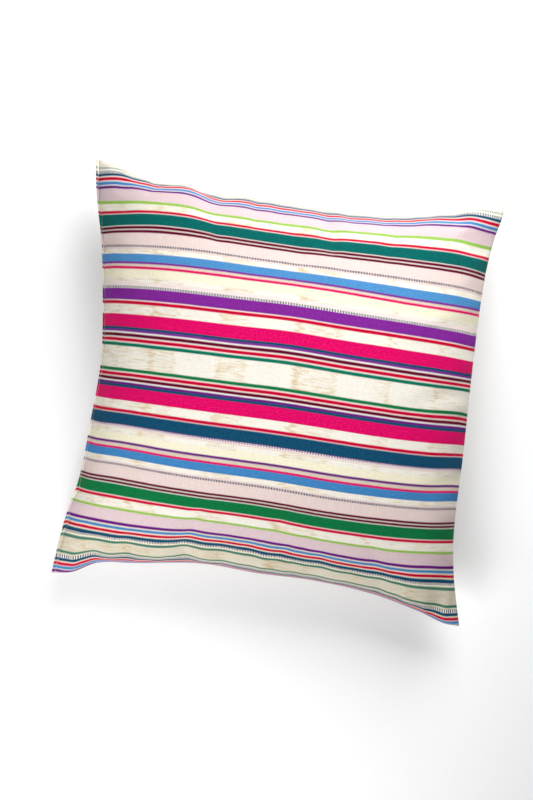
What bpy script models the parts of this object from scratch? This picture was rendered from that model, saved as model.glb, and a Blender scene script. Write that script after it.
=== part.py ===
"""A square cushion whose striped front panel is sewn to a plain back, filled and lying on its back.

Metres, +Z up. The origin is on the table under the middle of the cushion. +X runs along the
stripes, +Y runs across them to the cushion's top edge, and the striped face looks up.
"""

import math
from collections import namedtuple

import bmesh
import bpy
from mathutils import Vector

# The cloth, and how far the filling lifts it
CLOTH = 0.0015
SEAM_GAP = 0.0003
FRONT_CROWN = 0.088
CROWN_FLATNESS = 2.7
CROWN_FULLNESS = 0.605

# The turned edge on the left, outside its row of topstitching
LIP_WIDTH = 0.005
LIP_DIP = 0.0012

# Rows and columns of the crown, drawn closer together towards the seams by EDGE_CROWDING
CROWN_STEPS = 34
LIP_STEPS = 2
EDGE_CROWDING = 0.6

# The back lies flat on the table over this many of the middle rows and columns. There it is
# drawn in by the same amount from all four sides.
REST_STEPS = 12
EVEN_DRAW = 0.030

Corner = namedtuple("Corner", "x y height")
CORNERS = {
    "top_left": Corner(-0.273, 0.274, 0.074),
    "top_right": Corner(0.266, 0.282, 0.078),
    "bottom_left": Corner(-0.270, -0.274, 0.064),
    "bottom_right": Corner(0.273, -0.282, 0.062),
}
LIP_SHARE = LIP_WIDTH / (CORNERS["top_right"].x - CORNERS["top_left"].x)

# A side runs from its first corner to its second. At each share of that way the filling has
# drawn the seam in from the straight line between the corners. The even part of that, with its
# own draw and roundness, goes right across the panels. The rest fades within SEAM_REACH.
SEAM_REACH = 0.030
Side = namedtuple("Side", "first second inward lift draw roundness drawn_in")
Draw = namedtuple("Draw", "share inset")
SIDES = {
    "left": Side(
        "bottom_left", "top_left", Vector((1, 0, 0)), 0.006, 0.035, 1.3,
        (
            Draw(0.00, 0.000), Draw(0.06, 0.004), Draw(0.14, 0.011), Draw(0.24, 0.024),
            Draw(0.36, 0.030), Draw(0.52, 0.036), Draw(0.66, 0.030), Draw(0.80, 0.020),
            Draw(0.91, 0.007), Draw(1.00, 0.000),
        ),
    ),
    "right": Side(
        "bottom_right", "top_right", Vector((-1, 0, 0)), 0.004, 0.021, 0.8,
        (
            Draw(0.00, 0.000), Draw(0.06, 0.008), Draw(0.12, 0.015), Draw(0.22, 0.021),
            Draw(0.40, 0.020), Draw(0.60, 0.020), Draw(0.80, 0.017), Draw(0.90, 0.010),
            Draw(0.96, 0.002), Draw(1.00, 0.000),
        ),
    ),
    "bottom": Side(
        "bottom_left", "bottom_right", Vector((0, 1, 0)), 0.008, 0.037, 0.9,
        (
            Draw(0.00, 0.000), Draw(0.05, 0.005), Draw(0.11, 0.022), Draw(0.20, 0.028),
            Draw(0.36, 0.039), Draw(0.50, 0.036), Draw(0.63, 0.036), Draw(0.78, 0.028),
            Draw(0.90, 0.012), Draw(0.96, 0.001), Draw(1.00, 0.000),
        ),
    ),
    "top": Side(
        "top_left", "top_right", Vector((0, -1, 0)), 0.004, 0.034, 0.9,
        (
            Draw(0.00, 0.000), Draw(0.05, 0.005), Draw(0.16, 0.024), Draw(0.22, 0.024),
            Draw(0.27, 0.031), Draw(0.38, 0.030), Draw(0.60, 0.036), Draw(0.75, 0.033),
            Draw(0.87, 0.023), Draw(0.94, 0.011), Draw(1.00, 0.000),
        ),
    ),
}

# Soft troughs that start at a side's seam, are deepest a little way in, and fade out in the
# panel. A ridge has a depth below zero.
PUCKER_START = 0.012
Pucker = namedtuple("Pucker", "side share half_width reach depth")
FRONT_PUCKERS = (
    Pucker("top", 0.060, 0.018, 0.030, -0.003),
    Pucker("top", 0.180, 0.070, 0.060, -0.011),
    Pucker("top", 0.255, 0.018, 0.028, -0.006),
    Pucker("top", 0.310, 0.018, 0.034, 0.003),
    Pucker("top", 0.835, 0.030, 0.042, -0.005),
    Pucker("top", 0.925, 0.027, 0.040, -0.010),
    Pucker("bottom", 0.088, 0.016, 0.036, 0.006),
    Pucker("bottom", 0.135, 0.016, 0.034, -0.004),
    Pucker("bottom", 0.176, 0.014, 0.030, 0.003),
    Pucker("bottom", 0.245, 0.020, 0.040, -0.003),
    Pucker("bottom", 0.322, 0.013, 0.034, 0.006),
    Pucker("bottom", 0.365, 0.016, 0.034, -0.003),
    Pucker("bottom", 0.780, 0.024, 0.040, 0.003),
    Pucker("bottom", 0.880, 0.020, 0.040, -0.003),
    Pucker("bottom", 0.945, 0.014, 0.040, 0.005),
    Pucker("left", 0.120, 0.020, 0.040, 0.004),
    Pucker("left", 0.880, 0.022, 0.045, 0.004),
    Pucker("right", 0.120, 0.020, 0.040, 0.004),
    Pucker("right", 0.690, 0.024, 0.035, 0.003),
    Pucker("right", 0.900, 0.022, 0.045, 0.004),
)
BACK_PUCKERS = (
    Pucker("top", 0.140, 0.024, 0.055, 0.007),
    Pucker("top", 0.860, 0.026, 0.055, 0.007),
    Pucker("bottom", 0.150, 0.024, 0.055, 0.008),
    Pucker("bottom", 0.840, 0.024, 0.055, 0.007),
    Pucker("left", 0.160, 0.024, 0.050, 0.006),
    Pucker("left", 0.840, 0.024, 0.050, 0.006),
    Pucker("right", 0.150, 0.024, 0.050, 0.006),
    Pucker("right", 0.850, 0.024, 0.050, 0.006),
)

# How far apart, in shares of the width, the points are that give a surface its slope
SLOPE_STEP = 0.002


def curve_through(draws, share):
    """The inset at a share of a side, on a smooth curve through the rows of its table."""
    after = next(i for i, draw in enumerate(draws) if draw.share >= share or draw is draws[-1])
    after = max(after, 1)
    low, high = draws[after - 1], draws[after]

    def slope(index):
        left, right = draws[max(index - 1, 0)], draws[min(index + 1, len(draws) - 1)]
        return (right.inset - left.inset) / (right.share - left.share)

    span = high.share - low.share
    t = (share - low.share) / span
    return (
        low.inset * (2 * t**3 - 3 * t**2 + 1)
        + slope(after - 1) * span * (t**3 - 2 * t**2 + t)
        + high.inset * (3 * t**2 - 2 * t**3)
        + slope(after) * span * (t**3 - t**2)
    )


def corner_point(name):
    return Vector(CORNERS[name])


def even_inset(form, share):
    return form.draw * (4 * share * (1 - share)) ** form.roundness


def seam_point(side, share):
    """A point on a side's evenly drawn seam, which is lifted a little between its corners."""
    form = SIDES[side]
    straight = corner_point(form.first).lerp(corner_point(form.second), share)
    lift = Vector((0, 0, form.lift * math.sin(math.pi * share)))
    return straight + lift + form.inward * even_inset(form, share)


def corner_sheet(across, up):
    """The sheet that the four corners span, at shares of the way across and up the cushion."""
    bottom = corner_point("bottom_left").lerp(corner_point("bottom_right"), across)
    top = corner_point("top_left").lerp(corner_point("top_right"), across)
    return bottom.lerp(top, up)


def seam_distances(across, up):
    """For each side, how far along its seam and how far in from it a place is."""
    places = {
        "left": (up, across), "right": (up, 1 - across),
        "bottom": (across, up), "top": (across, 1 - up),
    }
    for side, (along, inward) in places.items():
        form = SIDES[side]
        length = (corner_point(form.second) - corner_point(form.first)).length
        yield side, form, length, along, inward * length


def between_seams(across, up):
    """The sheet that the four seams span."""
    rows = seam_point("bottom", across).lerp(seam_point("top", across), up)
    columns = seam_point("left", up).lerp(seam_point("right", up), across)
    point = rows + columns - corner_sheet(across, up)
    for side, form, length, along, inward in seam_distances(across, up):
        rest = curve_through(form.drawn_in, along) - even_inset(form, along)
        point += form.inward * rest * math.exp(-((inward / SEAM_REACH) ** 2))
    return point


def crowded(share):
    """Moves an even share of the way across towards the nearer seam."""
    even = 2 * share - 1
    round_ = math.sin(math.pi * even / 2)
    return (1 + (1 - EDGE_CROWDING) * even + EDGE_CROWDING * round_) / 2


REST_SHARE = 1 - 2 * crowded((CROWN_STEPS - REST_STEPS) / 2 / CROWN_STEPS)


def fullness(across, up, flat=0):
    """From 0 along the seams to 1 in the middle, which is flat over the share flat each way."""
    full = 1
    for share in (max((across - LIP_SHARE) / (1 - LIP_SHARE), 0), up):
        half = (1 - flat) / 2
        inward = min(share, 1 - share, half) / half
        full *= (1 - (1 - inward) ** CROWN_FLATNESS) ** CROWN_FULLNESS
    return full


def lip_dip(across):
    """The row of topstitching presses a groove along the inner edge of the lip."""
    return LIP_DIP * math.exp(-(((across - LIP_SHARE) / (LIP_SHARE / 2)) ** 2))


def pucker_depth(puckers, across, up):
    """How deep the troughs press at a place. Each fades along its seam and into the panel."""
    depth = 0
    for side, form, length, along, inward in seam_distances(across, up):
        start = 1 - math.exp(-((inward / PUCKER_START) ** 2))
        for pucker in puckers:
            if pucker.side == side:
                sideways = (along - pucker.share) * length / pucker.half_width
                fade = math.exp(-(sideways**2) - (inward / pucker.reach) ** 2)
                depth += pucker.depth * start * fade
    return depth


def front_base(across, up):
    """The front rises from the seams to its crown, without its puckers."""
    lift = FRONT_CROWN * fullness(across, up) - lip_dip(across)
    return between_seams(across, up) + Vector((0, 0, lift))


def back_base(across, up):
    """The back hangs from its own cloth at the seams down to the table."""
    full = fullness(across, up, REST_SHARE)
    corners = corner_sheet(across, up)
    even_pull = Vector((
        (1 - 2 * across) * EVEN_DRAW * math.sin(math.pi * up),
        (1 - 2 * up) * EVEN_DRAW * math.sin(math.pi * across),
        0,
    ))
    point = between_seams(across, up).lerp(corners + even_pull, full)
    point.z = (point.z - 2 * CLOTH - SEAM_GAP) * (1 - full)
    return point


def slope_normal(base, across, up):
    """The direction square to a base surface at a place, on the side where +Z is for the front."""
    left, right = max(across - SLOPE_STEP, 0), min(across + SLOPE_STEP, 1)
    low, high = max(up - SLOPE_STEP, 0), min(up + SLOPE_STEP, 1)
    along = base(right, up) - base(left, up)
    rise = base(across, high) - base(across, low)
    return along.cross(rise).normalized()


def front_point(across, up):
    depth = pucker_depth(FRONT_PUCKERS, across, up)
    return front_base(across, up) - slope_normal(front_base, across, up) * depth


def back_point(across, up):
    """The back's puckers fade out before the patch that lies flat on the table."""
    depth = pucker_depth(BACK_PUCKERS, across, up) * (1 - fullness(across, up, REST_SHARE))
    return back_base(across, up) + slope_normal(back_base, across, up) * depth


def add_panel(bm, point_at, faces_up):
    """Adds a grid of cloth shaped by point_at, with LIP_STEPS columns for the lip."""
    columns = CROWN_STEPS + LIP_STEPS
    made = bmesh.ops.create_grid(bm, x_segments=columns, y_segments=CROWN_STEPS, size=0.5)
    for vertex in made["verts"]:
        column = round((vertex.co.x + 0.5) * columns)
        up = crowded(vertex.co.y + 0.5)
        if column <= LIP_STEPS:
            across = LIP_SHARE * column / LIP_STEPS
        else:
            inside = crowded((column - LIP_STEPS) / CROWN_STEPS)
            across = LIP_SHARE + (1 - LIP_SHARE) * inside
        vertex.co = point_at(across, up)
    faces = list({face for vertex in made["verts"] for face in vertex.link_faces})
    bmesh.ops.recalc_face_normals(bm, faces=faces)
    bm.normal_update()
    if (sum(face.normal.z for face in faces) > 0) != faces_up:
        bmesh.ops.reverse_faces(bm, faces=faces)
        bm.normal_update()
    return made["verts"]


def cloth_material(name, colour):
    material = bpy.data.materials.new(name)
    material.use_nodes = True
    shader = material.node_tree.nodes["Principled BSDF"]
    shader.inputs["Base Color"].default_value = (*colour, 1)
    shader.inputs["Roughness"].default_value = 0.9
    shader.inputs["Metallic"].default_value = 0
    return material


def add_object(name, bm, material, collection):
    mesh = bpy.data.meshes.new(name)
    bm.to_mesh(mesh)
    bm.free()
    mesh.shade_smooth()
    mesh.materials.append(material)
    obj = bpy.data.objects.new(name, mesh)
    collection.objects.link(obj)
    return obj


def make_front_panel(material, collection):
    """The striped cloth: one thin sheet over the crown, out to the edge of the lip."""
    bm = bmesh.new()
    add_panel(bm, front_point, faces_up=True)
    panel = add_object("front_panel", bm, material, collection)
    thickness = panel.modifiers.new("cloth", "SOLIDIFY")
    thickness.thickness = CLOTH
    thickness.offset = -1
    return panel


def make_cushion(material, collection):
    """The filled cushion with its plain back, closed under the front panel."""
    bm = bmesh.new()
    for vertex in add_panel(bm, front_point, faces_up=True):
        vertex.co -= vertex.normal * (CLOTH + SEAM_GAP)
    add_panel(bm, back_point, faces_up=False)
    rims = [edge for edge in bm.edges if edge.is_boundary]
    bmesh.ops.bridge_loops(bm, edges=rims)
    bmesh.ops.recalc_face_normals(bm, faces=bm.faces)
    return add_object("cushion", bm, material, collection)


def build():
    for obj in list(bpy.data.objects):
        bpy.data.objects.remove(obj, do_unlink=True)
    collection = bpy.data.collections.new("ikat_cushion")
    bpy.context.scene.collection.children.link(collection)
    striped = cloth_material("striped_cotton", (0.72, 0.30, 0.42))
    plain = cloth_material("plain_cotton", (0.86, 0.83, 0.77))
    make_front_panel(striped, collection)
    make_cushion(plain, collection)


build()
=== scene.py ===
import math
from collections import namedtuple

import bpy
import numpy as np
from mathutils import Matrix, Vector
from mathutils.bvhtree import BVHTree


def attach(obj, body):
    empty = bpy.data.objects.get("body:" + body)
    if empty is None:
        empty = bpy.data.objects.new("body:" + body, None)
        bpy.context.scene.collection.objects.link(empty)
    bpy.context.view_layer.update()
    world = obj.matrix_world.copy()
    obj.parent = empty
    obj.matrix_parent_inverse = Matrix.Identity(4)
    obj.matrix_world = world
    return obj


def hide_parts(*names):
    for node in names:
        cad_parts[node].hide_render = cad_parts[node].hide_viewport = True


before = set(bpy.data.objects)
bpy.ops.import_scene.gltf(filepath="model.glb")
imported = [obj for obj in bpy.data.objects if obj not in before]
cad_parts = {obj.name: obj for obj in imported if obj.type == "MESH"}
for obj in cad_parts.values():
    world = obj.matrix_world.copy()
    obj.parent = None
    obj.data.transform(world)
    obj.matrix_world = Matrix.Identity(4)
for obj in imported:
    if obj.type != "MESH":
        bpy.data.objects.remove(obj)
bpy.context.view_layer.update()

# The outline of the cover. A striped front and a plain back, each cut square from cotton cloth,
# are sewn together along four sides. The filling draws the sides in between the corner ears.
CUT_SIZE = 0.559

Corner = namedtuple("Corner", "x y height")
CORNERS = {
    "top_left": Corner(-0.273, 0.274, 0.074),
    "top_right": Corner(0.266, 0.282, 0.078),
    "bottom_left": Corner(-0.270, -0.274, 0.064),
    "bottom_right": Corner(0.273, -0.282, 0.062),
}

# The even part of a side's inset, from its draw and roundness, goes right across the panels. The
# rest fades within SEAM_REACH of the seam.
SEAM_REACH = 0.030
Side = namedtuple("Side", "first second inward lift draw roundness drawn_in")
Draw = namedtuple("Draw", "share inset")
SIDES = {
    "left": Side(
        "bottom_left", "top_left", (1, 0, 0), 0.006, 0.035, 1.3,
        (
            Draw(0.00, 0.000), Draw(0.06, 0.004), Draw(0.14, 0.011), Draw(0.24, 0.024),
            Draw(0.36, 0.030), Draw(0.52, 0.036), Draw(0.66, 0.030), Draw(0.80, 0.020),
            Draw(0.91, 0.007), Draw(1.00, 0.000),
        ),
    ),
    "right": Side(
        "bottom_right", "top_right", (-1, 0, 0), 0.004, 0.021, 0.8,
        (
            Draw(0.00, 0.000), Draw(0.06, 0.008), Draw(0.12, 0.015), Draw(0.22, 0.021),
            Draw(0.40, 0.020), Draw(0.60, 0.020), Draw(0.80, 0.017), Draw(0.90, 0.010),
            Draw(0.96, 0.002), Draw(1.00, 0.000),
        ),
    ),
    "bottom": Side(
        "bottom_left", "bottom_right", (0, 1, 0), 0.008, 0.037, 0.9,
        (
            Draw(0.00, 0.000), Draw(0.05, 0.005), Draw(0.11, 0.022), Draw(0.20, 0.028),
            Draw(0.36, 0.039), Draw(0.50, 0.036), Draw(0.63, 0.036), Draw(0.78, 0.028),
            Draw(0.90, 0.012), Draw(0.96, 0.001), Draw(1.00, 0.000),
        ),
    ),
    "top": Side(
        "top_left", "top_right", (0, -1, 0), 0.004, 0.034, 0.9,
        (
            Draw(0.00, 0.000), Draw(0.05, 0.005), Draw(0.16, 0.024), Draw(0.22, 0.024),
            Draw(0.27, 0.031), Draw(0.38, 0.030), Draw(0.60, 0.036), Draw(0.75, 0.033),
            Draw(0.87, 0.023), Draw(0.94, 0.011), Draw(1.00, 0.000),
        ),
    ),
}
UP = np.array((0.0, 0.0, 1.0))


def inset_at(draws, share):
    """The inset at shares of a side, on a smooth curve through the rows of its table."""
    knots = np.array(draws)
    places = np.arange(len(knots))
    left = knots[np.maximum(places - 1, 0)]
    right = knots[np.minimum(places + 1, len(knots) - 1)]
    slopes = (right[:, 1] - left[:, 1]) / (right[:, 0] - left[:, 0])
    after = np.clip(np.searchsorted(knots[:, 0], share), 1, len(knots) - 1)
    low, high = knots[after - 1], knots[after]
    span = high[..., 0] - low[..., 0]
    t = (share - low[..., 0]) / span
    return (
        low[..., 1] * (2 * t**3 - 3 * t**2 + 1)
        + slopes[after - 1] * span * (t**3 - 2 * t**2 + t)
        + high[..., 1] * (3 * t**2 - 2 * t**3)
        + slopes[after] * span * (t**3 - t**2)
    )


def mixed(first, second, share):
    return first + (second - first) * np.asarray(share)[..., None]


def even_inset(form, share):
    return form.draw * (4 * share * (1 - share)) ** form.roundness


def seam_line(side, share):
    """Points on a side's evenly drawn seam, which is lifted a little between its corners."""
    form = SIDES[side]
    straight = mixed(np.array(CORNERS[form.first]), np.array(CORNERS[form.second]), share)
    inset = even_inset(form, share)[..., None] * np.array(form.inward)
    return straight + inset + (form.lift * np.sin(np.pi * share))[..., None] * UP


def corner_sheet(across, up):
    bottom = mixed(np.array(CORNERS["bottom_left"]), np.array(CORNERS["bottom_right"]), across)
    top = mixed(np.array(CORNERS["top_left"]), np.array(CORNERS["top_right"]), across)
    return mixed(bottom, top, up)


def seam_distances(across, up):
    """For each side, how far along its seam and how far in from it a place is, in metres."""
    places = {
        "left": (up, across), "right": (up, 1 - across),
        "bottom": (across, up), "top": (across, 1 - up),
    }
    for side, (along, inward) in places.items():
        form = SIDES[side]
        length = math.dist(CORNERS[form.first], CORNERS[form.second])
        yield side, form, length, along, inward * length


def even_sheet(across, up):
    """The sheet that the four evenly drawn seams span, at shares across and up the cushion."""
    rows = mixed(seam_line("bottom", across), seam_line("top", across), up)
    columns = mixed(seam_line("left", up), seam_line("right", up), across)
    return rows + columns - corner_sheet(across, up)


def seam_shift(across, up):
    """What the seams' uneven draw adds to that sheet near them."""
    shift = np.zeros(across.shape + (3,))
    for side, form, length, along, inward in seam_distances(across, up):
        rest = inset_at(form.drawn_in, along) - even_inset(form, along)
        near = np.exp(-((inward / SEAM_REACH) ** 2))
        shift += (rest * near)[..., None] * np.array(form.inward)
    return shift


# The filled form. The filling lifts the front to a full crown, steep at the seams, and presses
# the middle of the back flat on the table. Soft puckers run in from the seams beside the ears.
SEAM_THICKNESS = 0.0036
FRONT_CROWN = 0.088
CROWN_FLATNESS = 2.7
CROWN_FULLNESS = 0.605
REST_SHARE = 0.457
EVEN_DRAW = 0.030
LIP_WIDTH = 0.005
LIP_SHARE = LIP_WIDTH / (CORNERS["top_right"].x - CORNERS["top_left"].x)
LIP_DIP = 0.0013
LIP_DIP_WIDTH = 0.0014

Pucker = namedtuple("Pucker", "side share half_width reach depth")
PUCKER_START = 0.012
FRONT_PUCKERS = (
    Pucker("top", 0.060, 0.018, 0.030, -0.003),
    Pucker("top", 0.180, 0.070, 0.060, -0.011),
    Pucker("top", 0.255, 0.018, 0.028, -0.006),
    Pucker("top", 0.310, 0.018, 0.034, 0.003),
    Pucker("top", 0.835, 0.030, 0.042, -0.005),
    Pucker("top", 0.925, 0.027, 0.040, -0.010),
    Pucker("bottom", 0.088, 0.016, 0.036, 0.006),
    Pucker("bottom", 0.135, 0.016, 0.034, -0.004),
    Pucker("bottom", 0.176, 0.014, 0.030, 0.003),
    Pucker("bottom", 0.245, 0.020, 0.040, -0.003),
    Pucker("bottom", 0.322, 0.013, 0.034, 0.006),
    Pucker("bottom", 0.365, 0.016, 0.034, -0.003),
    Pucker("bottom", 0.780, 0.024, 0.040, 0.003),
    Pucker("bottom", 0.880, 0.020, 0.040, -0.003),
    Pucker("bottom", 0.945, 0.014, 0.040, 0.005),
    Pucker("left", 0.120, 0.020, 0.040, 0.004),
    Pucker("left", 0.880, 0.022, 0.045, 0.004),
    Pucker("right", 0.120, 0.020, 0.040, 0.004),
    Pucker("right", 0.690, 0.024, 0.035, 0.003),
    Pucker("right", 0.900, 0.022, 0.045, 0.004),
)
BACK_PUCKERS = (
    Pucker("top", 0.140, 0.024, 0.055, 0.007),
    Pucker("top", 0.860, 0.026, 0.055, 0.007),
    Pucker("bottom", 0.150, 0.024, 0.055, 0.008),
    Pucker("bottom", 0.840, 0.024, 0.055, 0.007),
    Pucker("left", 0.160, 0.024, 0.050, 0.006),
    Pucker("left", 0.840, 0.024, 0.050, 0.006),
    Pucker("right", 0.150, 0.024, 0.050, 0.006),
    Pucker("right", 0.850, 0.024, 0.050, 0.006),
)

# The stitches take up a little of the cloth, in fine waves along every seam
Gather = namedtuple("Gather", "wavelength depth")
GATHERS = (Gather(0.013, 0.00018), Gather(0.019, 0.00030), Gather(0.033, 0.00045))
GATHER_START = 0.004
GATHER_REACH = 0.018
GATHER_WANDER, WANDER_WAVES, SIDE_OFFSET = 1.4, 5.3, 1.7


def fullness(across, up, flat=0.0):
    """From 0 along the seams to 1 in the middle, which is flat over the share flat each way."""
    full = 1.0
    for share in (np.maximum((across - LIP_SHARE) / (1 - LIP_SHARE), 0), up):
        half = (1 - flat) / 2
        inward = np.minimum(np.minimum(share, 1 - share), half) / half
        full = full * (1 - (1 - inward) ** CROWN_FLATNESS) ** CROWN_FULLNESS
    return full


def pucker_depth(puckers, across, up):
    """How deep the troughs press at a place. Each fades along its seam and into the panel."""
    depth = 0.0
    for side, form, length, along, inward in seam_distances(across, up):
        start = 1 - np.exp(-((inward / PUCKER_START) ** 2))
        for pucker in puckers:
            if pucker.side == side:
                sideways = (along - pucker.share) * length / pucker.half_width
                fade = np.exp(-(sideways**2) - (inward / pucker.reach) ** 2)
                depth = depth + pucker.depth * start * fade
    return depth


def gather_depth(across, up):
    depth = 0.0
    for number, (side, form, length, along, inward) in enumerate(seam_distances(across, up)):
        near = (1 - np.exp(-((inward / GATHER_START) ** 2))) * np.exp(-((inward / GATHER_REACH) ** 2))
        for gather in GATHERS:
            turn = 2 * np.pi * along * length / gather.wavelength
            wander = GATHER_WANDER * np.sin(turn / WANDER_WAVES + number) + number * SIDE_OFFSET
            depth = depth + gather.depth * near * np.sin(turn + wander)
    return depth


def front_base(across, up):
    """The front rises from the seams to its crown, with the groove of its topstitched lip."""
    groove = (across - LIP_SHARE) * LIP_WIDTH / LIP_SHARE / LIP_DIP_WIDTH
    lift = FRONT_CROWN * fullness(across, up) - LIP_DIP * np.exp(-(groove**2))
    return even_sheet(across, up) + lift[..., None] * UP


def back_base(across, up):
    """The back hangs from the seams down to the table, where all four sides pull it alike."""
    full = fullness(across, up, REST_SHARE)
    pull = np.stack((
        (1 - 2 * across) * EVEN_DRAW * np.sin(np.pi * up),
        (1 - 2 * up) * EVEN_DRAW * np.sin(np.pi * across),
        np.zeros_like(across),
    ), axis=-1)
    spanned = even_sheet(across, up) + seam_shift(across, up)
    points = mixed(spanned, corner_sheet(across, up) + pull, full)
    points[..., 2] = (points[..., 2] - SEAM_THICKNESS) * (1 - full)
    return points


def grid_normals(grid):
    """The directions square to a grid of points, on the side where +Z is."""
    normals = np.cross(np.gradient(grid, axis=0), np.gradient(grid, axis=1))
    return normals / np.linalg.norm(normals, axis=-1, keepdims=True)


# Where the closing seam by the bottom left corner was sewn by hand, and for a stretch beside it,
# the back swells out past the seam.
Swell = namedtuple("Swell", "share half_width out")
BACK_SWELLS = (Swell(0.052, 0.022, 0.0062), Swell(0.235, 0.045, 0.0028))
SWELL_DEPTH = 0.012


def back_swell(across, up):
    out = np.zeros(across.shape + (3,))
    side, form, length, along, inward = next(
        row for row in seam_distances(across, up) if row[0] == "bottom"
    )
    for swell in BACK_SWELLS:
        sideways = (along - swell.share) * length / swell.half_width
        bulge = np.exp(-(sideways**4)) * (inward / SWELL_DEPTH) * np.exp(1 - inward / SWELL_DEPTH)
        out[..., 1] -= swell.out * bulge
    return out


def front_surface(across, up):
    base = front_base(across, up) + seam_shift(across, up)
    depth = pucker_depth(FRONT_PUCKERS, across, up) + gather_depth(across, up)
    return base - grid_normals(base) * depth[..., None]


def back_surface(across, up):
    base = back_base(across, up)
    clear = 1 - fullness(across, up, REST_SHARE)
    depth = (pucker_depth(BACK_PUCKERS, across, up) + gather_depth(across, up)) * clear
    return base + grid_normals(base) * depth[..., None] + back_swell(across, up)


# Rows and columns of cloth, closer together towards the seams
EDGE_CROWDING = 0.6


def crowded(count):
    even = np.linspace(-1, 1, count + 1)
    return (1 + (1 - EDGE_CROWDING) * even + EDGE_CROWDING * np.sin(np.pi * even / 2)) / 2


# A short run of the cloth under the filling's pressure, seams held. Its even swell is already in
# the form above, so only the small folds that the cloth makes by itself are kept.
CLOTH_STEPS = 84
CLOTH_PRESSURE = 4.0
CLOTH_GROWTH = 0.012
CLOTH_LAST_FRAME = 20
CLOTH_WEIGHT = 0.25
YARN_STIFFNESS = 20
BIAS_STIFFNESS = 6
FOLD_STIFFNESS = 0.35
MOST_FOLD = 0.006
SMOOTHINGS = 24


def new_mesh(name, points, faces):
    mesh = bpy.data.meshes.new(name)
    mesh.from_pydata(points, [], faces)
    return mesh


def placed(name, data):
    """A new object in the scene, for a mesh, a lamp or the camera."""
    obj = bpy.data.objects.new(name, data)
    bpy.context.scene.collection.objects.link(obj)
    return obj


def panel_faces(ids, up_facing=True):
    corners = (ids[:-1, :-1], ids[1:, :-1], ids[1:, 1:], ids[:-1, 1:])
    order = corners if up_facing else corners[::-1]
    return np.stack([corner.ravel() for corner in order], axis=1)


def smoothed(field, rounds):
    """A field on the panel's grid, averaged with its neighbours a number of times."""
    for _ in range(rounds):
        wide = np.pad(field, ((1, 1), (1, 1), (0, 0)), mode="edge")
        field = (wide[:-2, 1:-1] + wide[2:, 1:-1] + wide[1:-1, :-2] + wide[1:-1, 2:] + 4 * field) / 8
    return field


def cloth_folds():
    """How the cloth moves by itself on each panel: the shares of its grid and two fields."""
    shares = crowded(CLOTH_STEPS)
    across, up = np.meshgrid(shares, shares, indexing="ij")
    front, back = front_surface(across, up), back_surface(across, up)
    front_ids = np.arange(front[..., 0].size).reshape(across.shape)
    back_ids = front_ids.copy()
    inner = back_ids[1:-1, 1:-1]
    inner[...] = front_ids.size + np.arange(inner.size).reshape(inner.shape)
    points = np.concatenate((front.reshape(-1, 3), back[1:-1, 1:-1].reshape(-1, 3)))
    faces = np.concatenate((panel_faces(front_ids), panel_faces(back_ids, up_facing=False)))
    bag = placed("bag", new_mesh("bag", points.tolist(), faces.tolist()))
    rim = np.concatenate((front_ids[0], front_ids[-1], front_ids[:, 0], front_ids[:, -1]))
    held = bag.vertex_groups.new(name="held")
    held.add(np.unique(rim).tolist(), 1.0, "REPLACE")
    cloth = bag.modifiers.new("cloth", "CLOTH")
    settings = cloth.settings
    settings.quality = 6
    settings.mass = CLOTH_WEIGHT
    settings.tension_stiffness = YARN_STIFFNESS
    settings.compression_stiffness = YARN_STIFFNESS
    settings.shear_stiffness = BIAS_STIFFNESS
    settings.bending_stiffness = FOLD_STIFFNESS
    settings.use_pressure = True
    settings.uniform_pressure_force = CLOTH_PRESSURE
    settings.shrink_min = -CLOTH_GROWTH
    settings.vertex_group_mass = "held"
    settings.effector_weights.gravity = 0
    cloth.collision_settings.use_collision = False
    for number in range(1, CLOTH_LAST_FRAME + 1):
        bpy.context.scene.frame_set(number)
    moved = np.empty(len(points) * 3)
    bag.evaluated_get(bpy.context.evaluated_depsgraph_get()).data.vertices.foreach_get("co", moved)
    bpy.context.scene.frame_set(1)
    bpy.data.objects.remove(bag)
    moves = moved.reshape(-1, 3) - points
    fields = []
    for ids in (front_ids, back_ids):
        field = moves[ids]
        field = field - smoothed(field, SMOOTHINGS)
        length = np.linalg.norm(field, axis=-1, keepdims=True)
        field = field * np.minimum(1, MOST_FOLD / np.maximum(length, 1e-9))
        field[0] = field[-1] = 0
        field[:, 0] = field[:, -1] = 0
        fields.append(field)
    return shares, fields


def carried_over(shares, field, across, up):
    """A field of the cloth run, read at the rows and columns of a finer panel."""
    part = np.stack([
        np.stack([np.interp(up, shares, column) for column in field[..., axis]])
        for axis in range(3)
    ], axis=-1)
    return np.stack([
        np.stack([np.interp(across, shares, part[:, row, axis]) for row in range(len(up))], axis=1)
        for axis in range(3)
    ], axis=-1)


PANEL_STEPS = 88
GROOVE_COLUMNS = (0, 0.0018, 0.0034, 0.0044, 0.0050, 0.0056, 0.0066, 0.0084)
NEXT_COLUMN = 0.004

groove_shares = np.array(GROOVE_COLUMNS) * LIP_SHARE / LIP_WIDTH
crown_shares = LIP_SHARE + (1 - LIP_SHARE) * crowded(PANEL_STEPS)
column_shares = np.concatenate((groove_shares, crown_shares[crown_shares > groove_shares[-1] + NEXT_COLUMN]))
row_shares = crowded(PANEL_STEPS)
across_grid, up_grid = np.meshgrid(column_shares, row_shares, indexing="ij")
front_points = front_surface(across_grid, up_grid)
back_points = back_surface(across_grid, up_grid)
fold_shares, (front_folds, back_folds) = cloth_folds()
front_points += carried_over(fold_shares, front_folds, column_shares, row_shares)
back_move = carried_over(fold_shares, back_folds, column_shares, row_shares)
back_points += back_move * (1 - fullness(across_grid, up_grid, REST_SHARE))[..., None]
back_points[..., 2] = np.maximum(back_points[..., 2], 0)


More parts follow.
